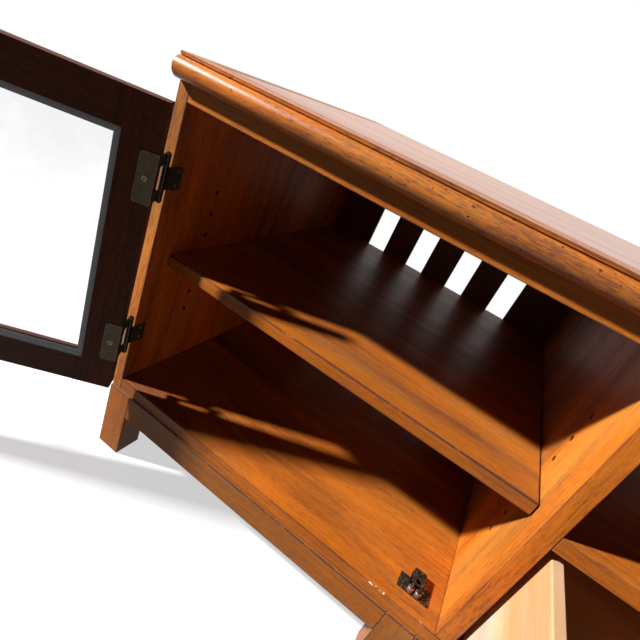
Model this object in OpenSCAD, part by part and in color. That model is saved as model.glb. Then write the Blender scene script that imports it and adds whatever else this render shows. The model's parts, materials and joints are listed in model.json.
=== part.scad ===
// Media console, all sizes in mm, +Z up.
// Frame: origin on the floor under the middle of the case, front faces -Y.
// Glass-door compartments left and right, a centre column with an open bay
// over one deep drawer, an inset base on square legs and a bullnosed top.

/* [Case] */
// Clear width of each glass-door compartment
side_opening_w = 522; // [400:1:700]
// Clear width of the centre column
centre_opening_w = 377; // [300:1:600]
// Clear height inside the case
opening_h = 396; // [330:1:600]
// Depth of the case, front edge to back face
case_depth = 560; // [480:1:700]
// Thickness of the two outer side panels
side_t = 16; // [13:1:25]
// Thickness of partitions, bottom, sub-top and centre shelf
board_t = 19; // [15:1:25]
// Thickness of the back panels
back_t = 6; // [3:1:10]
// Height of the drawer opening above the case floor
drawer_opening_h = 190; // [150:1:220]

/* [Top] */
// Thickness of the top
top_t = 27; // [20:1:40]
// Width of the solid edge moulding in plan
moulding_w = 32; // [20:1:60]
// Flat underside between the case and the half-round bullnose
nose_flat = 4; // [1:0.5:10]
// Height of the thin upper edge and its quirk
edge_h = 4; // [3:0.1:6]
// How far the thin upper edge stands out of the case
edge_out = 7.2; // [5:0.1:12]
// Depth of the quirk under the thin upper edge
quirk = 1.2; // [0.5:0.1:2.5]
// Rounding of the thin upper edge
edge_r = 0.7; // [0.2:0.1:1.5]
// Rounding of the top's two side edges
side_edge_r = 2; // [0.5:0.5:5]

/* [Base] */
// Width of a leg
leg_w = 40; // [30:1:60]
// Depth of a leg
leg_d = 42; // [30:1:60]
// Height of a leg
leg_h = 118; // [60:1:200]
// Height of the base rails
rail_h = 40; // [25:1:55]
// Thickness of the base rails
rail_t = 19; // [15:1:25]
// How far the base stands in front of the case
base_out = 3.5; // [0:0.5:8]
// How far the base is set in from the case sides
base_inset = 1; // [0:0.5:10]
// Rounding of the base's upper front edge
base_edge_r = 3; // [1:0.5:5]

/* [Shelves] */
// Thickness of an adjustable shelf
shelf_t = 18; // [15:1:25]
// Set-back of the shelf's front edge
shelf_setback = 32; // [24:1:70]
// Free space at each end of a shelf
shelf_end_gap = 2; // [1.8:0.1:4]
// Free space behind a shelf
shelf_back_gap = 4; // [1:1:20]
// Rounding of the shelf's front edges
shelf_nose_r = 3; // [1:0.5:7]

/* [Shelf pins] */
// Radius of the shelf pin holes
pin_hole_r = 2.5; // [2:0.1:4]
// Depth of the shelf pin holes
pin_hole_depth = 10; // [6:0.5:11]
// Spacing of the shelf pin holes
pin_pitch = 32; // [25:1:36]
// Number of holes in a column
pin_count = 7; // [5:1:7]
// Lowest hole above the case floor
pin_first_z = 98.5; // [70:0.5:110]
// Front hole column behind the case front
pin_front_y = 92.5; // [80:0.5:150]
// Rear hole column behind the case front
pin_rear_y = 484; // [300:1:515]
// Hole that carries the shelf, counted from 0
shelf_hole = 3; // [0:1:4]
// Radial clearance of a pin in its hole
pin_clearance = 0.05; // [0.01:0.01:0.2]
// Distance from a pin's axis down to the shelf's underside
support_drop = 8.5; // [6:0.5:12]
// Thickness of a shelf support
support_t = 1.5; // [1:0.1:1.7]
// Width of a shelf support
support_w = 12; // [10:1:20]
// Length of the support's foot under the shelf
support_foot = 13; // [8:1:20]

/* [Back slots] */
// Width of a cable slot
slot_w = 40; // [10:1:60]
// Spacing of the cable slots
slot_pitch = 99; // [70:1:110]
// Slots behind each side compartment
slot_count = 4; // [1:1:4]
// Slots behind the open centre bay
centre_slot_count = 3; // [1:1:3]
// Lower end of the side slots above the case floor
slot_low = 60; // [20:1:150]
// Upper end of all slots below the case ceiling
slot_high = 50; // [20:1:100]
// Lower end of the centre slots above the centre shelf
centre_slot_low = 35; // [15:1:60]

/* [Doors] */
// Thickness of a door
door_t = 19; // [18:0.5:22]
// Free space around a door
door_gap = 2; // [1.9:0.1:4]
// Free space under a door
door_low_gap = 5.5; // [1.9:0.1:7]
// Width of stiles and rails on the front
door_frame_w = 48; // [42:1:70]
// Width of the rebate for the glass
rebate_w = 7; // [5:0.5:12]
// Depth of the rebate from the back face
rebate_d = 10; // [8:0.5:12]
// Thickness of the glass
glass_t = 4; // [3:0.5:6]
// Free space around the glass
glass_gap = 0.5; // [0.2:0.1:2]
// Free space in the mitres of the glazing beads
bead_gap = 0.1; // [0.05:0.05:0.5]
// Chamfer of the sight edge on the door's front
sight_chamfer = 3; // [1:0.5:5]
// How far the left door stands open at rest, degrees
door_open = 148; // [0:1:170]

/* [Door hinges] */
// Height of a door leaf
hinge_h = 58; // [48:1:80]
// Height of a frame leaf
frame_leaf_h = 28; // [24:1:38]
// Thickness of the leaves
leaf_t = 1.3; // [1:0.1:1.4]
// Depth of a frame leaf inside the case
frame_leaf_d = 18.5; // [17:0.1:18.5]
// Width of a door leaf on the door's back face
door_leaf_w = 19; // [14:0.5:25]
// Radius of the leaves' free corners
leaf_corner_r = 2.5; // [1:0.1:4]
// Outer radius of the knuckles
knuckle_r = 3.6; // [3:0.1:4.5]
// Radius of the hinge pin
hinge_pin_r = 1.6; // [1.2:0.1:2.4]
// Running clearance of the hinge pin, radial
hinge_clearance = 0.06; // [0.01:0.01:0.1]
// Radius of the buttons on a pin's ends
pin_button_r = 2.6; // [2.5:0.1:3]
// Height of the buttons on a pin's ends
pin_button_h = 1.5; // [0.8:0.1:2.5]
// Free space between knuckles
knuckle_gap = 0.3; // [0.1:0.05:0.6]
// Hinge axis in front of the case front
hinge_out = 7; // [6:0.1:10]
// Lower hinge centre above the case floor
hinge_low = 83; // [60:1:110]
// Upper hinge centre below the case ceiling
hinge_high = 86; // [60:1:110]

/* [Screws] */
// Radius of a screw's shank
screw_r = 1.4; // [1:0.1:2]
// Radius of a screw's head
screw_head_r = 3.3; // [2.4:0.1:3.5]
// Length of a screw
screw_len = 12; // [8:0.5:12]
// Depth of the countersink
screw_sink = 0.9; // [0.5:0.1:0.9]
// Height of a screw's head above the plate
screw_dome = 0.35; // [0.1:0.05:0.45]
// Radial clearance of a screw in its hole
screw_clearance = 0.05; // [0.02:0.01:0.3]

/* [Roller catch] */
// Catch centre from the partition
catch_inset = 38; // [24:1:60]
// Roller axes behind the door's back face
roller_back = 6.5; // [5.5:0.1:10]
// Distance between the two roller axes
roller_spacing = 9.8; // [9:0.1:11]
// Radius of a roller
roller_r = 4.2; // [3:0.1:4.3]
// Height of a roller
roller_h = 7.4; // [5:0.1:12]
// Radius of a roller's axle
axle_r = 1.2; // [0.8:0.1:1.8]
// Running clearance of a roller, radial
roller_clearance = 0.06; // [0.01:0.01:0.1]
// Free space above and below a roller
roller_end_gap = 0.3; // [0.1:0.05:0.6]
// Thickness of the catch's plates
catch_t = 1.5; // [1.1:0.1:2]
// Half width of the catch over its ears
catch_ear = 21; // [19:0.5:23]
// Depth of the ears, front to back
catch_ear_d = 21.5; // [16:0.5:24]
// Half width of the catch's strap
strap_half = 8; // [7.5:0.1:10]
// Rear face of the strap behind the ears' front edge
strap_d = 31; // [28:0.5:40]
// Radius of the hole in the strap
strap_hole_r = 3.2; // [2:0.1:4]

/* [Drawer] */
// How far the drawer stands open at rest
drawer_open = 160; // [0:1:380]
// Free space around the drawer front
front_gap = 2; // [1:0.5:4]
// Thickness of the drawer front
front_t = 19; // [16:1:25]
// Thickness of the drawer's sides and back
drawer_side_t = 13; // [10:0.5:16]
// Free space between drawer side and partition
drawer_side_gap = 8; // [4:0.5:13]
// Length of the drawer's sides
drawer_len = 480; // [400:1:500]
// Underside of the drawer sides above the case floor
drawer_low = 12; // [6:1:20]
// Top of the drawer sides below the opening's top
drawer_high = 11; // [5:1:60]
// Top of the drawer back below the top of the sides
drawer_back_drop = 3; // [0:1:20]
// Thickness of the drawer bottom
drawer_bottom_t = 6; // [4:0.5:9]
// Depth of the grooves for the drawer bottom
groove_d = 6; // [4:0.5:8]
// Free space at the drawer bottom's edges
groove_gap = 0.3; // [0.1:0.1:1]

/* [Drawer slides] */
// Width of a slide
slide_w = 18; // [12:1:25]
// Length of the cabinet members
slide_len = 500; // [430:1:520]
// Length of the middle and drawer members
slide_inner_len = 458; // [380:1:460]
// Height of the outer members
slide_h = 11.7; // [8:0.1:16]
// Free space between the outer members
slide_split = 0.6; // [0.3:0.1:3]
// Running clearance between slide members
slide_clearance = 0.3; // [0.1:0.05:0.5]
// Sheet thickness of the outer members
slide_sheet = 1.5; // [1:0.1:2.5]
// Distance from a slide to the drawer side
slide_side_gap = 2; // [0.5:0.5:10]

/* [Knobs] */
// Radius of a knob
knob_r = 15; // [10:0.5:20]
// How far a knob stands out
knob_len = 26; // [20:0.5:35]
// Radius of a knob's rose
rose_r = 8.5; // [6:0.5:12]
// Radius of a knob's neck
neck_r = 4.6; // [3:0.1:6]
// Knob centre from the door's free edge
knob_inset = 24; // [16:1:30]
// Radius of a knob's bolt
bolt_r = 2; // [1.5:0.1:2.5]
// Length of a knob's bolt
bolt_len = 15; // [10:0.5:15]
// Radial clearance of a bolt in its hole
bolt_clearance = 0.1; // [0.05:0.05:0.5]

/* [Hidden] */

$fn = 48;
// How far a cutter reaches past the face it opens
past = 1;
// How far fused pieces reach into each other
sink = 0.2;

// Case frame: x 0 in the middle, y 0 at the case front, z 0 on the floor
floor_z = leg_h + board_t;
ceiling_z = floor_z + opening_h;
sub_top_z = ceiling_z + board_t;
top_z = sub_top_z + top_t;
back_y = case_depth - back_t;
centre_half = centre_opening_w / 2;
partition_mid = centre_half + board_t / 2;
cell_near = centre_half + board_t;
cell_far = cell_near + side_opening_w;
case_half = cell_far + side_t;
base_half = case_half - base_inset;
leg_centre = base_half - leg_w / 2;
leg_xs = [-leg_centre, -leg_centre / 3, leg_centre / 3, leg_centre];
rail_z = leg_h - rail_h;
slot_top = opening_h - slot_high;
nose_h = top_t - edge_h;

// Cell frame: x 0 on a compartment's outer wall, y 0 at the case front,
// z 0 on the case floor
door_x0 = door_gap;
door_x1 = side_opening_w - door_gap;
door_z0 = door_low_gap;
door_z1 = opening_h - door_gap;
sight_w = door_frame_w - rebate_w;
glass_y = door_t - rebate_d;
bead_y = glass_y + glass_t;
hinge_x = door_gap - knuckle_r;
hinge_zs = [hinge_low, opening_h - hinge_high];
hinge_half = hinge_h / 2;
frame_leaf_half = frame_leaf_h / 2;
door_leaf_mid = door_x0 + door_leaf_w / 2;
knob_z = opening_h / 2;
pin_z = pin_first_z + shelf_hole * pin_pitch;
shelf_z = pin_z - support_drop;

// Screw places on the hinges, the strike and the catch
frame_screw_y = frame_leaf_d - 5.5;
frame_screw_dz = frame_leaf_half - 5.8;
catch_x = side_opening_w - catch_inset;
roller_y = door_t + roller_back;
roller_z = catch_t + 2 * roller_end_gap;
strap_z = roller_z + roller_h + roller_end_gap;
ear_y = roller_y - 3.5;
ear_screw_x = catch_ear - 4.3;
ear_screw_y = ear_y + catch_ear_d / 2;

strike_screw_zs = [door_z0 + 9, door_z0 + 18];

// Drawer and slides, x 0 in the middle, z 0 on the case floor
drawer_half = centre_half - drawer_side_gap;
drawer_in = drawer_half - drawer_side_t;
drawer_top = drawer_opening_h - drawer_high;
drawer_end = front_t + drawer_len;
slide_x1 = drawer_in - slide_side_gap;
slide_x0 = slide_x1 - slide_w;
slide_mid = (slide_x0 + slide_x1) / 2;
drawer_bottom_z = 2 * slide_h + slide_split;

function arc(cx, cy, rx, ry, a0, a1, n) =
  [for (i = [0:n]) let (a = a0 + (a1 - a0) * i / n) [cx + rx * cos(a), cy + ry * sin(a)]];

module box(x0, x1, y0, y1, z0, z1) {
  translate([x0, y0, z0]) cube([x1 - x0, y1 - y0, z1 - z0]);
}

// A profile drawn in Y and Z, run along X.
module along_x(x0, x1) {
  translate([x0, 0, 0]) rotate([90, 0, 90]) linear_extrude(height = x1 - x0) children();
}

// A profile drawn in X and Z, run along Y.
module along_y(y0, y1) {
  translate([0, y1, 0]) rotate([90, 0, 0]) linear_extrude(height = y1 - y0) children();
}

// A round hole or pin along Y.
module rod_y(x, z, r, y0, y1) {
  translate([x, y0, z]) rotate([-90, 0, 0]) cylinder(r = r, h = y1 - y0);
}

// The origin lies under the middle of the case.
module place() {
  translate([0, -case_depth / 2, 0]) children();
}

module left_cell() {
  place() translate([-cell_far, 0, floor_z]) children();
}

module right_cell() {
  mirror([1, 0, 0]) left_cell() children();
}

module both_cells() {
  left_cell() children();
  right_cell() children();
}

module both_sides() {
  children();
  mirror([1, 0, 0]) children();
}

// The left door stands open, turned about its hinge axis.
module left_door() {
  left_cell() translate([hinge_x, -hinge_out, 0]) rotate([0, 0, -door_open])
    translate([-hinge_x, hinge_out, 0]) children();
}

// The drawer stands open, and the middle slide members run half as far.
module drawer() place() translate([0, -drawer_open, floor_z]) children();
module half_open() place() translate([0, -drawer_open / 2, floor_z]) children();

module wood() color([0.62, 0.32, 0.13]) children();
module dark_wood() color([0.3, 0.14, 0.08]) children();
module maple() color([0.87, 0.72, 0.5]) children();
module bronze() color([0.25, 0.2, 0.15]) children();
module steel() color([0.7, 0.68, 0.66]) children();

// Countersunk screw, its head's rim at z 0, with a cross recess
module screw() {
  difference() {
    union() {
      translate([0, 0, -screw_len]) cylinder(r = screw_r, h = screw_len - screw_sink + sink);
      translate([0, 0, -screw_sink]) cylinder(r1 = screw_r, r2 = screw_head_r, h = screw_sink);
      cylinder(r1 = screw_head_r, r2 = screw_head_r - 2 * screw_dome, h = screw_dome);
    }
    for (a = [0, 90]) rotate([0, 0, a]) translate([-1.6, -0.3, screw_dome - 0.7])
      cube([3.2, 0.6, past]);
  }
}

module screw_hole() {
  c = screw_clearance;
  translate([0, 0, -screw_len - past]) cylinder(r = screw_r + c, h = screw_len + 2 * past);
  translate([0, 0, -screw_sink]) cylinder(r1 = screw_r + c, r2 = screw_head_r + c, h = screw_sink);
  cylinder(r = screw_head_r + c, h = past);
}

// Screw places: each puts +Z along the way out of the wood, at the plate's face
module frame_screws() {
  for (z = hinge_zs, s = [-1, 1])
    translate([leaf_t, frame_screw_y, z + s * frame_screw_dz]) rotate([0, 90, 0]) children();
}

module ear_screws() {
  for (s = [-1, 1])
    translate([catch_x + s * ear_screw_x, ear_screw_y, catch_t]) children();
}

module leaf_screws() {
  for (z = hinge_zs)
    translate([door_leaf_mid, door_t + leaf_t, z]) rotate([-90, 0, 0]) children();
}

module strike_screws() {
  for (z = strike_screw_zs)
    translate([catch_x, door_t + leaf_t, z]) rotate([-90, 0, 0]) children();
}

// Case

module pin_holes(x, way) {
  for (y = [pin_front_y, pin_rear_y], i = [0:pin_count - 1])
    translate([x, y, pin_first_z + i * pin_pitch]) rotate([0, way * 90, 0])
      translate([0, 0, -past]) cylinder(r = pin_hole_r, h = pin_hole_depth + past);
}

module side_panel() {
  difference() {
    box(-side_t, 0, 0, case_depth, -board_t, opening_h + board_t);
    pin_holes(0, -1);
    frame_screws() screw_hole();
  }
}

module side_panel_left() wood() left_cell() side_panel();
module side_panel_right() wood() right_cell() side_panel();

module partition() {
  difference() {
    box(side_opening_w, side_opening_w + board_t, 0, back_y, 0, opening_h);
    pin_holes(side_opening_w, 1);
  }
}

module partition_left() wood() left_cell() partition();
module partition_right() wood() right_cell() partition();

module bottom_panel() wood() difference() {
  place() box(-cell_far, cell_far, 0, back_y, leg_h, floor_z);
  both_cells() ear_screws() screw_hole();
}

module sub_top() wood() place() box(-cell_far, cell_far, 0, back_y, ceiling_z, sub_top_z);

module centre_shelf() wood() place() translate([0, 0, floor_z])
  box(-centre_half, centre_half, 0, back_y, drawer_opening_h, drawer_opening_h + board_t);

// A back panel from x0 to x1 with a row of cable slots round its middle m.
module slotted_back(x0, x1, m, count, slot_bottom) {
  difference() {
    box(x0, x1, back_y, case_depth, -board_t, opening_h + board_t);
    for (i = [0:count - 1]) let (c = m + (i - (count - 1) / 2) * slot_pitch)
      box(c - slot_w / 2, c + slot_w / 2, back_y - past, case_depth + past,
        slot_bottom, slot_top);
  }
}

module side_back() {
  slotted_back(0, side_opening_w + board_t / 2, side_opening_w / 2, slot_count, slot_low);
}

module back_panel_left() dark_wood() left_cell() side_back();
module back_panel_right() dark_wood() right_cell() side_back();

module back_panel_centre() dark_wood() place() translate([0, 0, floor_z])
  slotted_back(-partition_mid, partition_mid, 0, centre_slot_count,
    drawer_opening_h + board_t + centre_slot_low);

// Top

// Front edge profile, x out of the case and y up from the sub-top: a half-round
// on a short flat, a quirk and a thin upper edge.
function edge_profile() = concat(
  [[-moulding_w, 0]],
  arc(nose_flat, nose_h / 2, nose_h / 2, nose_h / 2, -90, 70, 24),
  [[edge_out - quirk, nose_h - edge_h * 0.2], [edge_out - quirk, nose_h],
   [edge_out, nose_h + edge_h * 0.15]],
  arc(edge_out - edge_r, top_t - edge_r, edge_r, edge_r, 0, 90, 4),
  [[-moulding_w, top_t]]);

module top_moulding_front() wood() place() translate([0, 0, sub_top_z])
  mirror([0, 1, 0]) along_x(-case_half, case_half) polygon(edge_profile());

// Side edges are flush with the case and stop behind the front moulding.
module side_moulding() place() translate([-case_half, 0, sub_top_z])
  mirror([1, 0, 0]) along_y(moulding_w, case_depth)
    polygon(concat([[-moulding_w, 0], [0, 0]],
      arc(-side_edge_r, top_t - side_edge_r, side_edge_r, side_edge_r, 0, 90, 5),
      [[-moulding_w, top_t]]));

module top_moulding_left() wood() side_moulding();
module top_moulding_right() wood() mirror([1, 0, 0]) side_moulding();

module top_panel() wood() place()
  box(-case_half + moulding_w, case_half - moulding_w, moulding_w, case_depth, sub_top_z, top_z);

// Shelves

module shelf() {
  r = shelf_nose_r;
  z1 = shelf_z + shelf_t;
  y0 = shelf_setback;
  y1 = back_y - shelf_back_gap;
  along_x(shelf_end_gap, side_opening_w - shelf_end_gap)
    polygon(concat(arc(y0 + r, shelf_z + r, r, r, 270, 180, 6),
      arc(y0 + r, z1 - r, r, r, 180, 90, 6), [[y1, z1], [y1, shelf_z]]));
}

module shelf_left() wood() left_cell() shelf();
module shelf_right() wood() right_cell() shelf();

// An angle with a pin: the shelf's end hides the pin and rests on the foot.
module shelf_support() {
  translate([-pin_hole_depth + past, 0, pin_z]) rotate([0, 90, 0])
    cylinder(r = pin_hole_r - pin_clearance, h = pin_hole_depth - past + sink);
  translate([0, support_w / 2, 0]) rotate([90, 0, 0]) linear_extrude(height = support_w)
    polygon([[0, shelf_z - support_t], [support_foot, shelf_z - support_t],
      [support_foot, shelf_z], [support_t, shelf_z], [support_t, pin_z + pin_hole_r + 3],
      [0, pin_z + pin_hole_r + 3]]);
}

module shelf_supports() steel() both_cells() for (y = [pin_front_y, pin_rear_y]) {
  translate([0, y, 0]) shelf_support();
  translate([side_opening_w, y, 0]) mirror([1, 0, 0]) shelf_support();
}

// Base

// Section of the base's front with its rounded upper edge, in Y and Z.
module base_section(depth, z0) {
  r = base_edge_r;
  polygon(concat([[-base_out, z0]], arc(-base_out + r, leg_h - r, r, r, 180, 90, 5),
    [[-base_out + depth, leg_h], [-base_out + depth, z0]]));
}

module legs_front() wood() place() for (x = leg_xs)
  along_x(x - leg_w / 2, x + leg_w / 2) base_section(leg_d, 0);

// The outer legs carry the corners, the middle ones stand before the rear rail.
module legs_rear() wood() place() for (i = [0:3]) {
  y1 = i == 0 || i == 3 ? case_depth : case_depth - rail_t;
  box(leg_xs[i] - leg_w / 2, leg_xs[i] + leg_w / 2, y1 - leg_d, y1, 0, leg_h);
}

module base_rails_front() wood() place() for (i = [0:2])
  along_x(leg_xs[i] + leg_w / 2, leg_xs[i + 1] - leg_w / 2) base_section(rail_t, rail_z);

module base_rail_rear() wood() place()
  box(-leg_centre + leg_w / 2, leg_centre - leg_w / 2, case_depth - rail_t, case_depth,
    rail_z, leg_h);

module base_cross_rails() wood() place() both_sides() {
  box(base_half - rail_t, base_half, leg_d - base_out, case_depth - leg_d, rail_z, leg_h);
  box(leg_xs[2] - rail_t / 2, leg_xs[2] + rail_t / 2, leg_d - base_out,
    case_depth - rail_t - leg_d, rail_z, leg_h);
}

// Hinges: wrap-round leaves with three knuckles on one loose pin

module knuckle(z0, z1) {
  translate([hinge_x, -hinge_out, z0]) cylinder(r = knuckle_r, h = z1 - z0);
}

module pin_bore(z) {
  translate([hinge_x, -hinge_out, z - hinge_h]) cylinder(r = hinge_pin_r + hinge_clearance,
    h = 2 * hinge_h);
}

// A leaf from a0 to a1, its free corners at a1 rounded.
module leaf_plan(a0, a1, half) {
  r = leaf_corner_r;
  polygon(concat([[a0, half], [a0, -half]], arc(a1 - r, r - half, r, r, 270, 360, 6),
    arc(a1 - r, half - r, r, r, 0, 90, 6)));
}

// The frame leaf lies on the compartment wall and carries the middle knuckle.
module hinge_frame_leaves() bronze() both_cells() difference() {
  for (z = hinge_zs) {
    translate([0, 0, z]) along_x(0, leaf_t)
      leaf_plan(-hinge_out, frame_leaf_d, frame_leaf_half);
    knuckle(z - frame_leaf_half, z + frame_leaf_half);
  }
  for (z = hinge_zs) pin_bore(z);
  frame_screws() screw_hole();
}

// A pin with a button at each end, just clear of the knuckles.
module hinge_pins() bronze() both_cells() for (z = hinge_zs) {
  h = hinge_half + hinge_clearance;
  translate([hinge_x, -hinge_out, z]) {
    cylinder(r = hinge_pin_r, h = 2 * h + sink, center = true);
    for (s = [-1, 1]) translate([0, 0, s * (h + pin_button_h / 2)])
      cylinder(r = pin_button_r, h = pin_button_h, center = true);
  }
}

// The door leaf lies on the door's back face; two arms wrap round the door's
// edge to the upper and lower knuckles.
module door_leaf(z) {
  arm_z = frame_leaf_half + knuckle_gap;
  translate([0, door_t + leaf_t, z]) rotate([90, 0, 0]) linear_extrude(height = leaf_t)
    leaf_plan(door_x0 - leaf_t, door_x0 + door_leaf_w, hinge_half);
  for (zs = [[z - hinge_half, z - arm_z], [z + arm_z, z + hinge_half]]) {
    box(door_x0 - leaf_t, door_x0, -hinge_out, door_t + sink, zs[0], zs[1]);
    knuckle(zs[0], zs[1]);
  }
}

module door_leaves() bronze() difference() {
  for (z = hinge_zs) door_leaf(z);
  for (z = hinge_zs) pin_bore(z);
  leaf_screws() screw_hole();
}

module case_screws() bronze() both_cells() {
  frame_screws() screw();
  ear_screws() screw();
}

// Doors, drawn closed in the cell frame

// Cuts what the door frame's boards share: rebate, bevel and fixing holes.
module door_cuts() {
  c = sight_chamfer;
  f = door_frame_w;
  s = sight_w;
  box(door_x0 + s, door_x1 - s, glass_y, door_t + past, door_z0 + s, door_z1 - s);
  hull() {
    box(door_x0 + f - c, door_x1 - f + c, -past, 0, door_z0 + f - c, door_z1 - f + c);
    box(door_x0 + f, door_x1 - f, -past, c, door_z0 + f, door_z1 - f);
  }
  leaf_screws() screw_hole();
  strike_screws() screw_hole();
  rod_y(door_x1 - knob_inset, knob_z, bolt_r + bolt_clearance, -past, door_t + past);
}

module door_stile(x0) wood() difference() {
  box(x0, x0 + door_frame_w, 0, door_t, door_z0, door_z1);
  door_cuts();
}

module door_rail(z0) wood() difference() {
  box(door_x0 + door_frame_w, door_x1 - door_frame_w, 0, door_t, z0, z0 + door_frame_w);
  door_cuts();
}

module hinge_stile() door_stile(door_x0);
module latch_stile() door_stile(door_x1 - door_frame_w);
module bottom_rail() door_rail(door_z0);
module top_rail() door_rail(door_z1 - door_frame_w);

module glass() color([0.8, 0.85, 0.85, 0.5]) {
  s = sight_w + glass_gap;
  box(door_x0 + s, door_x1 - s, glass_y, bead_y, door_z0 + s, door_z1 - s);
}

// One mitred bead of length l, its outer face on y 0, in plan.
module bead(l) {
  g = bead_gap;
  linear_extrude(height = door_t - bead_y)
    polygon([[g, 0], [l - g, 0], [l - rebate_w - g, rebate_w], [rebate_w + g, rebate_w]]);
}

module glazing_beads() color([0.2, 0.2, 0.2]) {
  w = door_x1 - door_x0 - 2 * sight_w;
  h = door_z1 - door_z0 - 2 * sight_w;
  translate([door_x0 + sight_w, door_t, door_z0 + sight_w]) rotate([90, 0, 0]) {
    bead(w);
    translate([w, h, 0]) rotate([0, 0, 180]) bead(w);
    translate([w, 0, 0]) rotate([0, 0, 90]) bead(h);
    translate([0, h, 0]) rotate([0, 0, -90]) bead(h);
  }
}

module door_screws() bronze() {
  leaf_screws() screw();
  strike_screws() screw();
}

// Spear strike: its neck passes between the rollers, its head sits behind them.
module strike() bronze() {
  half = 6;
  behind = roller_y + roller_r;
  difference() {
    box(catch_x - half, catch_x + half, door_t, door_t + leaf_t, door_z0,
      strike_screw_zs[1] + 5);
    strike_screws() screw_hole();
  }
  translate([catch_x, 0, door_z0]) linear_extrude(height = roller_z + roller_h - door_z0)
    polygon([[-0.5, door_t], [0.5, door_t], [0.5, behind + 0.3], [2.4, behind + 1.3],
      [2.4, behind + 3], [0.6, behind + 7], [-0.6, behind + 7], [-2.4, behind + 3],
      [-2.4, behind + 1.3], [-0.5, behind + 0.3]]);
}

// Turned knob on its bolt, standing up from z 0.
module knob() bronze() {
  crown = knob_len * 2 / 3;
  rotate_extrude() polygon(concat(
    [[0, 0], [rose_r, 0], [rose_r, 1.2], [neck_r + 1.4, 2.6], [neck_r, 6],
     [neck_r, crown - 8], [neck_r + 2, crown - 5.5]],
    arc(0, crown, knob_r, knob_len - crown, -30, 90, 12)));
  translate([0, 0, -bolt_len]) cylinder(r = bolt_r, h = bolt_len + sink);
}

module door_knob() translate([door_x1 - knob_inset, 0, knob_z]) rotate([90, 0, 0]) knob();

module left_door_hinge_stile() left_door() hinge_stile();
module left_door_latch_stile() left_door() latch_stile();
module left_door_top_rail() left_door() top_rail();
module left_door_bottom_rail() left_door() bottom_rail();
module left_door_glass() left_door() glass();
module left_door_glazing_beads() left_door() glazing_beads();
module left_door_hinge_leaves() left_door() door_leaves();
module left_door_screws() left_door() door_screws();
module left_door_strike() left_door() strike();
module left_door_knob() left_door() door_knob();

module right_door_hinge_stile() right_cell() hinge_stile();
module right_door_latch_stile() right_cell() latch_stile();
module right_door_top_rail() right_cell() top_rail();
module right_door_bottom_rail() right_cell() bottom_rail();
module right_door_glass() right_cell() glass();
module right_door_glazing_beads() right_cell() glazing_beads();
module right_door_hinge_leaves() right_cell() door_leaves();
module right_door_screws() right_cell() door_screws();
module right_door_strike() right_cell() strike();
module right_door_knob() right_cell() door_knob();

// Double roller catch on the case floor

// Plan of one spring arm: an eye round the axle and a leaf back to the strap.
module arm_plan(s) {
  x = s * roller_spacing / 2;
  translate([x, roller_y]) circle(r = axle_r + 1.2);
  translate([x - 1.5, roller_y]) square([3, ear_y + strap_d - roller_y - catch_t / 2]);
}

// Two ears on the floor, a strap folded over them, and the arms in the strap.
module catch_base() {
  y1 = ear_y + strap_d;
  difference() {
    union() {
      box(catch_x - catch_ear, catch_x + catch_ear, ear_y, ear_y + catch_ear_d, 0, catch_t);
      box(catch_x - strap_half, catch_x + strap_half, ear_y, y1, 0, catch_t);
      box(catch_x - strap_half, catch_x + strap_half, y1 - catch_t, y1, 0, strap_z + catch_t);
      box(catch_x - strap_half, catch_x + strap_half, ear_y + 9.5, y1, strap_z, strap_z + catch_t);
      translate([catch_x, 0, strap_z]) linear_extrude(height = catch_t) {
        arm_plan(-1);
        arm_plan(1);
      }
      for (s = [-1, 1]) translate([catch_x + s * roller_spacing / 2, roller_y, 0]) {
        cylinder(r = axle_r, h = strap_z + catch_t + 0.6);
        translate([0, 0, strap_z + catch_t - sink]) cylinder(r = axle_r + 0.7, h = 0.8);
        translate([0, 0, catch_t - sink]) cylinder(r = axle_r + 0.7, h = roller_end_gap + sink);
      }
    }
    ear_screws() screw_hole();
    translate([catch_x, ear_y + 14, catch_t + past]) cylinder(r = strap_hole_r, h = strap_z + catch_t);
    box(catch_x - 1, catch_x + 3, y1 - 8, y1 - 6.5, catch_t + past, strap_z + catch_t + past);
  }
}

module catch_bases() bronze() both_cells() catch_base();

module roller(s) steel() translate([catch_x + s * roller_spacing / 2, roller_y, roller_z]) {
  f = roller_r / 4;
  difference() {
    rotate_extrude() polygon(concat([[0, 0]], arc(roller_r - f, f, f, f, 270, 360, 5),
      arc(roller_r - f, roller_h - f, f, f, 0, 90, 5), [[0, roller_h]]));
    translate([0, 0, -past]) cylinder(r = axle_r + roller_clearance, h = roller_h + 2 * past);
  }
}

module left_catch_roller_outer() left_cell() roller(-1);
module left_catch_roller_inner() left_cell() roller(1);
module right_catch_roller_outer() right_cell() roller(-1);
module right_catch_roller_inner() right_cell() roller(1);

// Drawer, drawn closed

module bottom_groove() {
  g = drawer_in + groove_d;
  box(-g, g, front_t - groove_d, drawer_end + past, drawer_bottom_z,
    drawer_bottom_z + drawer_bottom_t);
}

module drawer_front() wood() drawer() difference() {
  box(-centre_half + front_gap, centre_half - front_gap, 0, front_t,
    front_gap, drawer_opening_h - front_gap);
  bottom_groove();
  rod_y(0, drawer_opening_h / 2, bolt_r + bolt_clearance, -past, front_t + past);
}

module drawer_side() maple() difference() {
  box(-drawer_half, -drawer_in, front_t, drawer_end, drawer_low, drawer_top);
  bottom_groove();
}

module drawer_side_left() drawer() drawer_side();
module drawer_side_right() drawer() mirror([1, 0, 0]) drawer_side();

module drawer_back() maple() drawer()
  box(-drawer_in, drawer_in, drawer_end - drawer_side_t, drawer_end,
    drawer_bottom_z + drawer_bottom_t, drawer_top - drawer_back_drop);

module drawer_bottom() maple() drawer() {
  g = drawer_in + groove_d - groove_gap;
  box(-g, g, front_t - groove_d + groove_gap, drawer_end, drawer_bottom_z,
    drawer_bottom_z + drawer_bottom_t);
}

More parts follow.
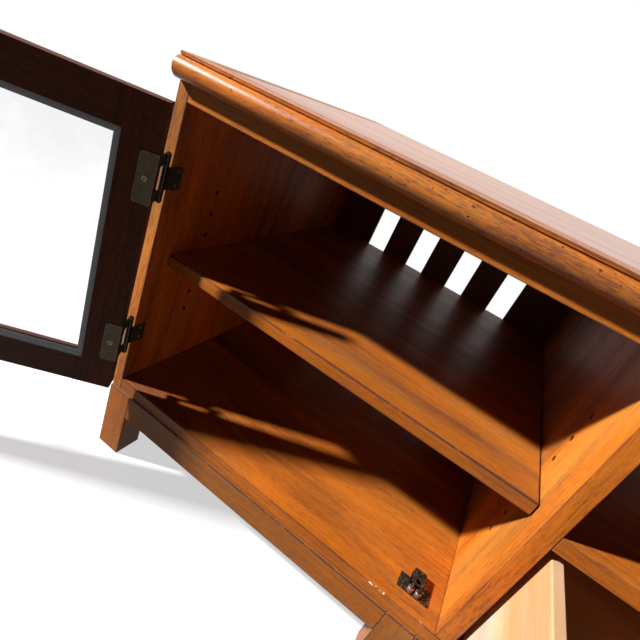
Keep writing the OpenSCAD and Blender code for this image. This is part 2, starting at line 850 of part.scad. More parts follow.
module drawer_knob() drawer() translate([0, 0, drawer_opening_h / 2]) rotate([90, 0, 0]) knob();

// Slides under the drawer: a channel on the case floor, a channel under the
// drawer bottom, and a middle member that runs in both

module channel_plan() {
  t = slide_sheet;
  difference() {
    translate([slide_x0, 0]) square([slide_w, slide_h]);
    translate([slide_x0 + t, t]) square([slide_w - 2 * t, slide_h]);
  }
}

module slide_cabinet_members() steel() place() translate([0, 0, floor_z]) both_sides()
  along_y(front_t + past, front_t + past + slide_len) channel_plan();

module slide_drawer_members() steel() drawer() both_sides()
  along_y(front_t + past, front_t + past + slide_inner_len)
    translate([0, drawer_bottom_z]) mirror([0, 1]) channel_plan();

// Middle member: a flange in each channel and a web between them.
module slide_middle_members() steel() half_open() both_sides()
  along_y(front_t + past, front_t + past + slide_inner_len) {
    g = slide_sheet + slide_clearance;
    w = slide_w - 2 * g;
    translate([slide_x0 + g, g]) square([w, slide_h / 3]);
    translate([slide_x0 + g, drawer_bottom_z - g - slide_h / 3]) square([w, slide_h / 3]);
    translate([slide_mid - slide_sheet, g]) square([2 * slide_sheet, drawer_bottom_z - 2 * g]);
  }

side_panel_left();
side_panel_right();
partition_left();
partition_right();
bottom_panel();
sub_top();
centre_shelf();
back_panel_left();
back_panel_centre();
back_panel_right();
top_panel();
top_moulding_front();
top_moulding_left();
top_moulding_right();
shelf_left();
shelf_right();
shelf_supports();
legs_front();
legs_rear();
base_rails_front();
base_rail_rear();
base_cross_rails();
hinge_frame_leaves();
hinge_pins();
case_screws();
catch_bases();
slide_cabinet_members();
left_door_hinge_stile();
left_door_latch_stile();
left_door_top_rail();
left_door_bottom_rail();
left_door_glass();
left_door_glazing_beads();
left_door_hinge_leaves();
left_door_screws();
left_door_strike();
left_door_knob();
right_door_hinge_stile();
right_door_latch_stile();
right_door_top_rail();
right_door_bottom_rail();
right_door_glass();
right_door_glazing_beads();
right_door_hinge_leaves();
right_door_screws();
right_door_strike();
right_door_knob();
left_catch_roller_outer();
left_catch_roller_inner();
right_catch_roller_outer();
right_catch_roller_inner();
drawer_front();
drawer_side_left();
drawer_side_right();
drawer_back();
drawer_bottom();
drawer_knob();
slide_drawer_members();
slide_middle_members();
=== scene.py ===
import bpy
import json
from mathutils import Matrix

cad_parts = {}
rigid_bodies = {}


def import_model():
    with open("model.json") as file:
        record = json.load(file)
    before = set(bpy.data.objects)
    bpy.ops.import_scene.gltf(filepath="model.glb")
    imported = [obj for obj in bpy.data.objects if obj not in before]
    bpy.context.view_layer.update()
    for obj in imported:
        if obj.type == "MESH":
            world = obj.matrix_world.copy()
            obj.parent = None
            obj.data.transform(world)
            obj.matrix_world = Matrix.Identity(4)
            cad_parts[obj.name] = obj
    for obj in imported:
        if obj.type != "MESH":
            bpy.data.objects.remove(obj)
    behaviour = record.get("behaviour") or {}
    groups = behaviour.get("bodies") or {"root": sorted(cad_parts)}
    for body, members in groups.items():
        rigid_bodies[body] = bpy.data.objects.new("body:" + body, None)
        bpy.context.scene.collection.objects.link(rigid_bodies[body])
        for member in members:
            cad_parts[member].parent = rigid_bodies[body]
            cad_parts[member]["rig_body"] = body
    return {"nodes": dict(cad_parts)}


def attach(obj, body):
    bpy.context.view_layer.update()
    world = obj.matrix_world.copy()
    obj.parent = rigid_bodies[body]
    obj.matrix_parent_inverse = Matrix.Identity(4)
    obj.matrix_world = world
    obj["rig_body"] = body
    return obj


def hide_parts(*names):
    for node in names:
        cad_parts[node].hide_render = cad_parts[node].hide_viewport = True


bl_info = {
    "name": "Media Console Looks",
    "version": (1, 0, 0),
    "blender": (4, 5, 0),
    "location": "3D View > Sidebar > Console",
    "description": "Dresses the packed media console: stained wood, bronze hardware, glass, stage and camera",
    "category": "Object",
}

import json
import math

import bmesh
import bpy
from bpy.props import FloatProperty, FloatVectorProperty, PointerProperty
from mathutils import Matrix, Vector

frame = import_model()
NODES = frame["nodes"]

# Places on the console that the looks refer to, in metres. Where a place has a mirror image on the
# right, the positive X stands for both.
SIDE_INNER_FACE = 0.7295
SIDE_OUTER_FACE = 0.745
PARTITION_FACE = 0.2075
PIN_COLUMNS = (-0.1875, 0.204)
PIN_FIRST_ROW = 0.2355
PIN_HALF_PITCH = 0.016
PIN_ROWS_MIDDLE = 0.3315
PIN_ROWS_REACH = 0.105
# Radii of the painted shade round each pin hole
PIN_SHADE_RING = (0.003, 0.0043)
CHIPPED_STRETCHES = ((-0.303, -0.296, -0.272, -0.264), (-0.231, -0.229, -0.222, -0.22))
FLOOR_ARRIS_Y = (-0.2795, -0.2775)
FLOOR_ARRIS_Z = (0.1345, 0.136)
# Below this height the nose's bottom gets painted shade
NOSE_UNDERSIDE = (0.552, 0.5528)
# Heights and depths of the quirk, which gets painted shade, and of the glazed lip
QUIRK_Z = (0.5736, 0.574, 0.5758, 0.5762)
QUIRK_Y = (-0.2876, -0.2868)
LIP_Z = (0.5766, 0.5778)
LIP_Y = (-0.2866, -0.286)
LEG_ROW = (0.2415, 0.02, 0.483)
RAIL_ROW = (0.0, 0.2215, 0.483)
BARREL = (0.0038, 0.0046)
# The hole in a catch's strap and the hollow beneath the strap get painted shade
STRAP_HOLE = (0.2455, -0.244)
STRAP_HOLE_WALL = (0.0031, 0.0034)
STRAP_HALF = 0.008
STRAP_UNDERSIDE = (0.1476, 0.148)
STRAP_FRONT = (-0.2486, -0.2482)
STRAP_BACK = -0.227

# The left door stands open, so its boards' own coordinates turn with it about the hinge pins.
LEFT_SWING = math.radians(-148.0)
LEFT_PIN = Vector((-0.7311, -0.287, 0.0))

# The grain runs along a node group's X, so a board's coordinates are turned first.
GRAIN_TURN = {"x": (0.0, 0.0, 0.0), "y": (0.0, 0.0, math.radians(90)), "z": (0.0, math.radians(90), 0.0)}

# The box of a door's compartment, whose inner angles get painted shade, and how far the other one lies from
# it
CELL_CENTRE = (-0.4685, -0.36, 0.335)
CELL_HALF = (0.261, 0.634, 0.198)
FAR = 99.0
CELL_PITCH = (0.937, FAR, FAR)

# Limits for the eased arrises: lengths in metres, angles in degrees
WELD = 2e-6
FLAT_ANGLE = 0.5
CURVED_ANGLES = (1.0, 31.0)
CURVED_STRIP = 0.003
SHARP_ANGLE = 40.0
LONG_ARRIS = 0.0016

# Lamps: place and size. The key lamp stands where the sun stood in the photo.
KEY_LAMP = ((-7.1, -3.6, 5.3), 0.4)
FILL_LAMP = ((0.6, -3.2, 1.6), 2.4)
LAMP_TARGET = (0.0, 0.0, 0.3)
FLOOR_RADIUS = 2.6
FLOOR_FADE = (0.9, 2.2, 0.6, 1.0)

# The camera that was fitted to the photo
PHOTO_SIDE = 640.0
OPTICAL_CENTRE = (326.69, 308.18)
CAMERA_PLACE = (-0.36803, -0.66565, 0.60711)
CAMERA_RIGHT = Vector((0.81194, 0.44371, 0.37930))
CAMERA_DOWN = Vector((0.51730, -0.24588, -0.81972))
CAMERA_AHEAD = Vector((-0.27046, 0.86178, -0.42918))

WHITE = (1, 1, 1, 1)
# Painted shade for the hinge barrels
BARREL_PAINTED_SHADE = (0.006, 0.004, 0.003, 1.0)
# Painted shade for the strap's hole and the hollow beneath the strap
PAINTED_SHADE_HOLLOW = (0.002, 0.002, 0.002, 1.0)
# Painted reflection: the lighter clouds in the glass
GLASS_PAINTED_REFLECTION = (0.97, 0.98, 0.975, 1.0)
DUSTY_BEAD = (0.16, 0.15, 0.15, 1)
# Painted shade on the beads along the frame
BEAD_PAINTED_SHADE = (0.012, 0.009, 0.01, 1)


# Properties

def colour_property(name, description, default):
    return FloatVectorProperty(name=name, description=description, default=default,
                               subtype="COLOR", size=3, min=0.0, max=1.0)


def share_property(name, description, default):
    return FloatProperty(name=name, description=description, default=default,
                         subtype="FACTOR", min=0.0, max=1.0)


def length_property(name, description, default, precision):
    return FloatProperty(name=name, description=description, default=default,
                         unit="LENGTH", precision=precision)


class WoodFinish(bpy.types.PropertyGroup):
    stain: colour_property("Stain", "Colour of the stained boards between the grain lines",
                           (0.52, 0.155, 0.016))
    stain_dark: colour_property("Dark grain", "Colour of the grain lines of the stained boards",
                                (0.125, 0.04, 0.018))
    shelf_stain: colour_property("Shelf stain", "Colour of the darker shelves between the grain lines",
                                 (0.43, 0.116, 0.007))
    trim_stain: colour_property("Trim stain", "Colour of the mouldings and the base", (0.35, 0.11, 0.011))
    # This colour is the real glaze along edges and also the painted shade in holes, slots, compartment
    # angles, the quirk, the nose's bottom and round the pin holes.
    glaze_and_shade: colour_property("Glaze", "Dark glaze that gathers along the edges", (0.028, 0.01, 0.009))
    door_stain: colour_property("Door stain", "Colour of the doors' boards between the grain lines",
                                (0.098, 0.035, 0.019))
    door_dark: colour_property("Door grain", "Colour of the grain lines of the doors' boards",
                               (0.03, 0.01, 0.007))
    back_stain: colour_property("Back stain", "Colour of the thin back panels", (0.12, 0.035, 0.014))
    maple: colour_property("Maple", "Colour of the drawer's unstained sides", (0.62, 0.4, 0.225))
    maple_dark: colour_property("Maple grain", "Colour of the grain lines of the maple", (0.5, 0.28, 0.13))
    chip: colour_property("Chip", "Bare wood where the finish has chipped off", (0.85, 0.66, 0.42))
    gloss: share_property("Gloss", "Roughness of the lacquer", 0.33)
    edge_width: length_property("Glazed edge", "Width of the dark glaze along an edge", 0.0013, 4)
    eased_edge: length_property("Eased edge", "Rounding sanded onto the boards' arrises", 0.0009, 4)


class HardwareFinish(bpy.types.PropertyGroup):
    bronze: colour_property("Bronze", "Colour of the antique bronze hardware", (0.026, 0.018, 0.011))
    # Also the colour of the hardware's bright arrises, which are worn metal and partly painted glints.
    bronze_worn_and_glint: colour_property("Worn bronze", "Colour where the patina has rubbed off", (0.5, 0.38, 0.27))
    roller: colour_property("Roller brass", "Colour of the catches' rollers", (0.36, 0.23, 0.17))
    steel: colour_property("Zinc steel", "Colour of the slides and shelf supports", (0.6, 0.6, 0.58))
    bead: colour_property("Glazing bead", "Colour of the beads that hold the glass", (0.12, 0.115, 0.13))
    glass: colour_property("Glass", "Tint of the door glass", (0.885, 0.895, 0.892))
    eased_metal: length_property("Metal edge", "Rounding of the stamped metal's edges", 0.0004, 5)


class StageSetup(bpy.types.PropertyGroup):
    floor: colour_property("Floor", "Colour of the floor", (0.95, 0.95, 0.95))
    bounce: share_property("Floor bounce", "Share of the floor's colour that lights the console", 0.1)
    lens: FloatProperty(name="Lens", description="Focal length on a 36 mm sensor", default=24.18,
                        unit="CAMERA")
    key_power: FloatProperty(name="Key lamp", description="Power of the lamp high at the front left",
                             default=2050.0, unit="POWER")
    fill_power: FloatProperty(name="Fill lamp", description="Power of the wide lamp at the front",
                              default=1.2, unit="POWER")
    sky: FloatProperty(name="Room light", description="Strength of the even light of the room",
                       default=0.013, min=0.0, max=2.0)


PROPERTIES = [("console_wood", WoodFinish), ("console_hardware", HardwareFinish),
              ("console_stage", StageSetup)]


# Node helpers

def rgba(colour, factor=1.0):
    return (colour[0] * factor, colour[1] * factor, colour[2] * factor, 1.0)


def scaled(colour, factor):
    return [c * factor for c in colour]


class Tree:
    """Adds nodes to a tree and links them from keyword arguments."""

    def __init__(self, tree):
        self.tree = tree

    def fill(self, sockets, values):
        for key, value in values.items():
            if isinstance(value, bpy.types.NodeSocket):
                self.tree.links.new(value, sockets[key])
            else:
                sockets[key].default_value = value

    def node(self, kind, inputs=None, **settings):
        n = self.tree.nodes.new(kind)
        for key, value in settings.items():
            setattr(n, key, value)
        self.fill(n.inputs, inputs or {})
        return n

    def group(self, tree, values):
        return self.node("ShaderNodeGroup", values, node_tree=tree).outputs

    def math(self, operation, a, b=0.0, clamp=False):
        return self.node("ShaderNodeMath", {0: a, 1: b}, operation=operation, use_clamp=clamp).outputs[0]

    def plus(self, a, b, clamp=False):
        return self.math("ADD", a, b, clamp)

    def times(self, first, *others):
        for other in others:
            first = self.math("MULTIPLY", first, other)
        return first

    def least(self, a, b):
        return self.math("MINIMUM", a, b)

    def most(self, a, b):
        return self.math("MAXIMUM", a, b)

    def size(self, value):
        return self.math("ABSOLUTE", value)

    def off(self, value, centre):
        """How far a value lies from a centre, on either side."""
        return self.size(self.math("SUBTRACT", value, centre))

    def radius(self, a, b):
        return self.math("SQRT", self.plus(self.times(a, a), self.times(b, b)))

    def band(self, value, low, high, to_low=0.0, to_high=1.0):
        return self.node("ShaderNodeMapRange", {"Value": value, "From Min": low, "From Max": high,
                                                "To Min": to_low, "To Max": to_high}).outputs[0]

    def within(self, value, low, high, full=1.0):
        """Full up to a low value, and 0 from a high one on."""
        return self.band(value, low, high, full, 0.0)

    def window(self, value, rise, risen, fall, fallen):
        return self.times(self.band(value, rise, risen), self.within(value, fall, fallen))

    def mix(self, factor, a, b, blend="MIX"):
        return self.node("ShaderNodeMix", {0: factor, 6: a, 7: b}, data_type="RGBA",
                         blend_type=blend).outputs[2]

    def vector(self, operation, *values):
        return self.node("ShaderNodeVectorMath", dict(enumerate(values)), operation=operation).outputs[0]

    def xyz(self, vector):
        return self.node("ShaderNodeSeparateXYZ", {0: vector}).outputs

    def noise(self, vector, scale, detail=4.0, roughness=0.55, distortion=0.0):
        return self.node("ShaderNodeTexNoise", {"Vector": vector, "Scale": scale, "Detail": detail,
                                                "Roughness": roughness,
                                                "Distortion": distortion}).outputs["Fac"]

    def bump(self, height, strength, distance):
        return self.node("ShaderNodeBump", {"Height": height, "Strength": strength,
                                            "Distance": distance}).outputs[0]

    def coords(self):
        return self.node("ShaderNodeTexCoord").outputs["Object"]

    def seen(self):
        """1 where the camera, a mirror image or a look through glass sees it, 0 where it only lights."""
        path = self.node("ShaderNodeLightPath").outputs
        return self.most(self.most(path["Is Camera Ray"], path["Is Glossy Ray"]),
                         path["Is Transmission Ray"])

    def principled(self, inputs):
        shader = self.node("ShaderNodeBsdfPrincipled", inputs)
        self.node("ShaderNodeOutputMaterial", {"Surface": shader.outputs[0]})


def new_group(name, inputs, outputs):
    group = bpy.data.node_groups.new(name, "ShaderNodeTree")
    for socket, kind, default in inputs:
        s = group.interface.new_socket(name=socket, in_out="INPUT", socket_type=kind)
        if default is not None:
            s.default_value = default
    for socket, kind in outputs:
        group.interface.new_socket(name=socket, in_out="OUTPUT", socket_type=kind)
    t = Tree(group)
    return t, t.node("NodeGroupInput").outputs, t.node("NodeGroupOutput").inputs


def grain_group():
    """Stained hardwood along the vector's X: cloudy stain, figure, fine streaks, flecks and dark pores."""
    name = "Hardwood grain"
    if name in bpy.data.node_groups:
        return bpy.data.node_groups[name]
    t, i, o = new_group(
        name,
        [("Vector", "NodeSocketVector", None), ("Light", "NodeSocketColor", (0.6, 0.2, 0.03, 1)),
         ("Dark", "NodeSocketColor", (0.2, 0.06, 0.02, 1)), ("Mottle", "NodeSocketFloat", 0.4),
         ("Figure", "NodeSocketFloat", 0.4), ("Streak", "NodeSocketFloat", 0.3),
         ("Pores", "NodeSocketFloat", 0.3)],
        [("Colour", "NodeSocketColor"), ("Height", "NodeSocketFloat"), ("Roughness", "NodeSocketFloat")])
    v = i["Vector"]
    sway = t.node("ShaderNodeTexNoise", {"Vector": t.vector("MULTIPLY", v, (3.0, 7.0, 7.0)),
                                         "Scale": 1.0, "Detail": 2.0}).outputs["Color"]
    warp = t.vector("ADD", v, t.vector("MULTIPLY", sway, (0.0, 0.03, 0.03)))

    def layer(vector, along, across, detail, roughness, distortion, low, high):
        stretched = t.vector("MULTIPLY", vector, (along, across, across))
        return t.band(t.noise(stretched, 1.0, detail, roughness, distortion), low, high)

    mottle = layer(warp, 2.6, 15.0, 6.0, 0.6, 0.3, 0.44, 0.68)
    glow = layer(v, 3.5, 12.0, 4.0, 0.6, 0.4, 0.44, 0.68)
    warm = layer(v, 1.5, 9.0, 4.0, 0.55, 0.5, 0.4, 0.62)
    figure = layer(warp, 1.7, 30.0, 3.0, 0.5, 0.4, 0.47, 0.7)
    streak = layer(warp, 5.0, 300.0, 5.0, 0.65, 0.0, 0.42, 0.7)
    fleck = layer(warp, 90.0, 800.0, 3.0, 0.6, 0.0, 0.46, 0.64)
    pore = layer(warp, 70.0, 1100.0, 2.0, 0.5, 0.0, 0.6, 0.7)
    mask = t.plus(t.times(mottle, i["Mottle"]), t.times(figure, i["Figure"]))
    mask = t.plus(mask, t.times(streak, i["Streak"]))
    mask = t.plus(mask, t.times(t.plus(pore, fleck), i["Pores"]), clamp=True)
    colour = t.mix(t.times(glow, 0.25), t.mix(mask, i["Light"], i["Dark"]), i["Light"], "ADD")
    colour = t.mix(1.0, colour, t.mix(warm, (1.0, 0.88, 0.7, 1.0), (0.95, 1.12, 1.5, 1.0)), "MULTIPLY")
    sunk = t.plus(t.times(pore, 0.5), t.times(fleck, 0.3))
    t.fill(o, {"Colour": colour, "Height": t.math("SUBTRACT", 1.0, sunk),
               "Roughness": t.band(mask, 0.0, 1.0, 0.0, 0.14)})
    return t.tree


def edge_group():
    """Where a point lies on a board's box.

    Edge is the glaze along the arrises. Inside and Rim are points that lie deeper than the box's
    faces: Inside the sides of holes and slots, which get painted shade, and Rim those from nearer
    the faces on, with worn spots.
    """
    name = "Board edges"
    if name in bpy.data.node_groups:
        return bpy.data.node_groups[name]
    t, i, o = new_group(
        name,
        [("Vector", "NodeSocketVector", None), ("Centre", "NodeSocketVector", (0, 0, 0)),
         ("Half", "NodeSocketVector", (1, 1, 1)), ("Pitch", "NodeSocketVector", (FAR, FAR, FAR)),
         ("Width", "NodeSocketFloat", 0.002), ("Uneven", "NodeSocketFloat", 0.5)],
        [("Edge", "NodeSocketFloat"), ("Inside", "NodeSocketFloat"), ("Rim", "NodeSocketFloat")])
    v = i["Vector"]
    local = t.vector("SUBTRACT", v, i["Centre"])
    turns = t.vector("FLOOR", t.vector("ADD", t.vector("DIVIDE", local, i["Pitch"]), (0.5, 0.5, 0.5)))
    local = t.vector("ABSOLUTE", t.vector("SUBTRACT", local, t.vector("MULTIPLY", turns, i["Pitch"])))
    left = t.vector("SUBTRACT", i["Half"], local)
    x, y, z = t.xyz(left)
    least = t.least(t.least(x, y), z)
    x, y, z = t.xyz(t.vector("ABSOLUTE", left))
    middle = t.most(t.least(x, y), t.least(t.most(x, y), z))
    ragged = t.math("SUBTRACT", t.noise(v, 420.0, 3.0, 0.6), 0.5)
    drift = t.band(t.noise(v, 22.0, 3.0, 0.6), 0.35, 0.68, 0.35, 1.3)
    reach = t.plus(t.math("DIVIDE", middle, t.times(i["Width"], drift)), t.times(ragged, i["Uneven"]))
    edge = t.node("ShaderNodeMapRange", {"Value": reach, "From Min": 0.2, "From Max": 1.5, "To Min": 1.0,
                                         "To Max": 0.0}, interpolation_type="SMOOTHSTEP").outputs[0]
    worn = t.band(t.noise(v, 45.0, 5.0, 0.7), 0.56, 0.66, 1.0, 0.3)
    # Inside: where the sides of holes and slots get painted shade
    t.fill(o, {"Edge": edge, "Inside": t.band(least, 0.0011, 0.0016),
               "Rim": t.times(t.band(least, 0.00006, 0.00025), worn)})
    return t.tree


def material(name):
    m = bpy.data.materials.new(name)
    m.use_nodes = True
    m.node_tree.nodes.clear()
    return m, Tree(m.node_tree)


def board_coords(t, swung):
    coords = t.coords()
    if not swung:
        return coords
    return t.node("ShaderNodeMapping", {"Vector": coords, "Location": LEFT_PIN,
                                        "Rotation": (0.0, 0.0, LEFT_SWING)},
                  vector_type="TEXTURE").outputs[0]


def board_box(name, swung):
    turn = Matrix.Identity(4)
    if swung:
        turn = Matrix.Rotation(-LEFT_SWING, 4, "Z") @ Matrix.Translation(-LEFT_PIN)
    points = [turn @ v.co for v in NODES[name].data.vertices]
    low = Vector([min(p[k] for p in points) for k in range(3)])
    high = Vector([max(p[k] for p in points) for k in range(3)])
    return (low + high) / 2, (high - low) / 2


# Pieces

def add_object(name, data):
    added = bpy.data.objects.new(name, data)
    bpy.context.scene.collection.objects.link(added)
    return added


def add_mesh(name, bm):
    mesh = bpy.data.meshes.new(name)
    bm.to_mesh(mesh)
    bm.free()
    return mesh


def dress(names, m):
    for name in names:
        mesh = NODES[name].data
        mesh.materials.clear()
        mesh.materials.append(m)


def stained(name, nodes, axis, light, dark, grain=(0.45, 0.3, 0.3, 0.28), gloss=0.36, specular=0.1,
            coat=0.0, glaze_and_shade=None, strength=0.85, width=0.0013, pitch=None, compartment_shade=False, holes=True,
            swung=False, offset=(0.0, 0.0, 0.0), finish=None, ease=0.0009, shortest=0.0,
            slot="stained_wood"):
    """Stains like boards: grain along an axis, dark glaze on arrises, painted shade in holes and along a
    compartment's inner angles, and eased edges.
    """
    m, t = material(name)
    coords = board_coords(t, swung)
    turned = t.node("ShaderNodeMapping", {"Vector": coords, "Rotation": GRAIN_TURN[axis],
                                          "Location": offset}).outputs[0]
    wood = t.group(grain_group(), {"Vector": turned, "Light": rgba(light), "Dark": rgba(dark),
                                   "Mottle": grain[0], "Figure": grain[1], "Streak": grain[2],
                                   "Pores": grain[3]})
    colour, rough = wood["Colour"], t.plus(wood["Roughness"], gloss)
    shine = coat
    if glaze_and_shade is not None:
        centre, half = board_box(nodes[0], swung)
        spacing = (FAR, FAR, FAR)
        if pitch:
            centre[0], half[0] = pitch[:2]
            spacing = (pitch[2], FAR, FAR)
        edge = t.group(edge_group(), {"Vector": coords, "Centre": centre, "Half": half,
                                      "Pitch": spacing, "Width": width, "Uneven": 0.9})
        colour = t.mix(t.times(edge["Edge"], strength * 0.75), colour, rgba(glaze_and_shade))
        colour = t.mix(t.times(edge["Rim"], strength if holes else 0.0), colour, rgba(glaze_and_shade))
        if holes:
            # Painted shade on the sides of holes and slots
            colour = t.mix(t.times(edge["Inside"], 0.9), colour, rgba(glaze_and_shade, 0.3))
            shine = t.times(edge["Rim"], 0.6)
        if compartment_shade:
            # Painted shade along the compartment's inner angles
            angle_shade = t.group(edge_group(), {"Vector": coords, "Centre": CELL_CENTRE, "Half": CELL_HALF,
                                            "Pitch": CELL_PITCH, "Width": 0.0011, "Uneven": 0.3})
            colour = t.mix(t.times(angle_shade["Edge"], 0.45), colour, rgba(glaze_and_shade))
    if finish:
        colour, rough = finish(t, coords, colour, rough)
    t.principled({"Base Color": colour, "Roughness": rough, "Normal": t.bump(wood["Height"], 0.15, 0.0003),
                  "Specular IOR Level": specular, "Coat Weight": shine, "Coat Roughness": 0.2})
    dress(nodes, m)
    for n in nodes:
        eased(n, ease, m, shortest=shortest)


def eased(name, width, m, worn=None, rims=None, shortest=0.0):
    """A copy of a CAD node with its arrises rounded, which stands for the node.

    Long arrises and those of the hinge barrels get the worn material, the other ones the rims'.
    """
    bm = bmesh.new()
    bm.from_mesh(NODES[name].data)
    bmesh.ops.remove_doubles(bm, verts=bm.verts, dist=WELD)
    bmesh.ops.dissolve_limit(bm, angle_limit=math.radians(FLAT_ANGLE), verts=bm.verts, edges=bm.edges)
    for f in bm.faces:
        angles = [math.degrees(e.calc_face_angle(0.0)) for e in f.edges if len(e.link_faces) == 2]
        narrow = f.calc_area() / max(e.calc_length() for e in f.edges) < CURVED_STRIP
        f.smooth = narrow and any(CURVED_ANGLES[0] < a < CURVED_ANGLES[1] for a in angles)
    sharp = [e for e in bm.edges if len(e.link_faces) == 2 and e.calc_length() > shortest
             and math.degrees(e.calc_face_angle(0.0)) > SHARP_ANGLE]
    made = bmesh.ops.bevel(bm, geom=sharp, offset=width, offset_type="OFFSET", affect="EDGES",
                           segments=2, profile=0.5, material=-1, clamp_overlap=True)
    rounded = set(made["faces"])
    looks = [look for look in (m, worn, rims) if look]
    for f in made["faces"]:
        f.smooth = True
        long = max(e.calc_length() for e in f.edges) > LONG_ARRIS
        centre = f.calc_center_median()
        knuckle = math.hypot(abs(centre.x) + LEFT_PIN.x, centre.y - LEFT_PIN.y) < BARREL[1]
        f.material_index = looks.index(worn if long or knuckle else rims) if worn else 0
        # Smooth across the flat faces beside it, an arris would tilt their shading along its length.
        for e in f.edges:
            e.smooth = all(g in rounded for g in e.link_faces)
    mesh = add_mesh("eased_" + name, bm)
    for look in looks:
        mesh.materials.append(look)
    piece = add_object("eased_" + name, mesh)
    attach(piece, NODES[name]["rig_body"])
    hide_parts(name)


# Operators

class ConsolePiece:
    bl_options = {"REGISTER", "UNDO"}


class CONSOLE_OT_case(ConsolePiece, bpy.types.Operator):
    """Stain the case's boards, the shelves and the back panels"""
    bl_idname = "console.case_finish"
    bl_label = "Case and shelves"

    def execute(self, context):
        w = context.scene.console_wood
        board = dict(light=w.stain, dark=w.stain_dark, gloss=w.gloss, glaze_and_shade=w.glaze_and_shade,
                     width=w.edge_width, ease=w.eased_edge)
        # The side panels and partitions take the stain a quarter lighter: partly their own paler wood, partly
        # painted light for the light their inner faces catch from the lit boards around them.
        drilled_with_painted_light = dict(board, light=scaled(w.stain, 1.25), compartment_shade=True, shortest=0.006)
        shelf = dict(board, light=w.shelf_stain, width=0.0016, ease=0.0003, specular=0.08)
        back = dict(board, light=w.back_stain, strength=0.5, slot="dark_back")
        for side, shift in (("left", 0.0), ("right", 1.7)):
            stained("stained_side_" + side, ["side_panel_" + side], "z", offset=(shift, 0.1, 0.0),
                    finish=self.upright(w, SIDE_INNER_FACE), **drilled_with_painted_light)
            stained("stained_partition_" + side, ["partition_" + side], "z", offset=(shift, 0.43, 0.7),
                    finish=self.upright(w, PARTITION_FACE), **drilled_with_painted_light)
            stained("stained_shelf_" + side, ["shelf_" + side], "x", offset=(shift, 0.7, 0.0), **shelf)
            stained("stained_back_" + side, ["back_panel_" + side], "z", offset=(shift, 0.2, 0.2), **back)
        stained("stained_back_centre", ["back_panel_centre"], "z", offset=(0.4, 0.2, 0.9), **back)
        stained("stained_bottom", ["bottom_panel"], "x", compartment_shade=True, offset=(0.0, 0.0, 0.2),
                finish=self.chips(w), **dict(board, light=scaled(w.stain, 0.9),
                                             grain=(0.6, 0.3, 0.34, 0.3)))
        stained("stained_sub_top", ["sub_top"], "x", compartment_shade=True, offset=(0.3, 0.2, 0.9), **board)
        stained("stained_centre_shelf", ["centre_shelf"], "x", offset=(0.8, 0.2, 0.4), **board)
        return {"FINISHED"}

    def upright(self, w, face):
        """Deeper stain on the outer face, and painted shade in a band round each pin hole, which makes the
        holes' dark openings look wider.
        """
        def finish(t, coords, colour, rough):
            x, y, z = t.xyz(coords)
            x = t.size(x)
            outer = t.band(x, SIDE_OUTER_FACE - 0.0005, SIDE_OUTER_FACE, 0.0, 0.42)
            colour = t.mix(outer, colour, rgba(w.stain, 0.4))
            inner = t.within(t.off(x, face), 0.0001, 0.0003)
            rows = t.within(t.off(z, PIN_ROWS_MIDDLE), PIN_ROWS_REACH, PIN_ROWS_REACH + 0.001)
            up = t.math("PINGPONG", t.math("SUBTRACT", z, PIN_FIRST_ROW), PIN_HALF_PITCH)
            along = t.least(t.off(y, PIN_COLUMNS[0]), t.off(y, PIN_COLUMNS[1]))
            # Painted shade round the pin holes on the inner faces
            hole_shade_ring = t.times(t.within(t.radius(up, along), *PIN_SHADE_RING, 0.9), inner, rows)
            return t.mix(hole_shade_ring, colour, rgba(w.glaze_and_shade)), rough
        return finish

    def chips(self, w):
        """Small pale chips on the floor's front arris, near the left catch."""
        def finish(t, coords, colour, rough):
            x, y, z = t.xyz(coords)
            near = t.times(t.within(y, *FLOOR_ARRIS_Y), t.band(z, *FLOOR_ARRIS_Z))
            span = t.plus(*[t.window(x, *stretch) for stretch in CHIPPED_STRETCHES])
            spots = t.band(t.noise(coords, 150.0, 3.0, 0.6), 0.48, 0.54)
            mask = t.times(near, span, spots)
            return t.mix(mask, colour, rgba(w.chip)), t.plus(rough, t.times(mask, 0.3))
        return finish


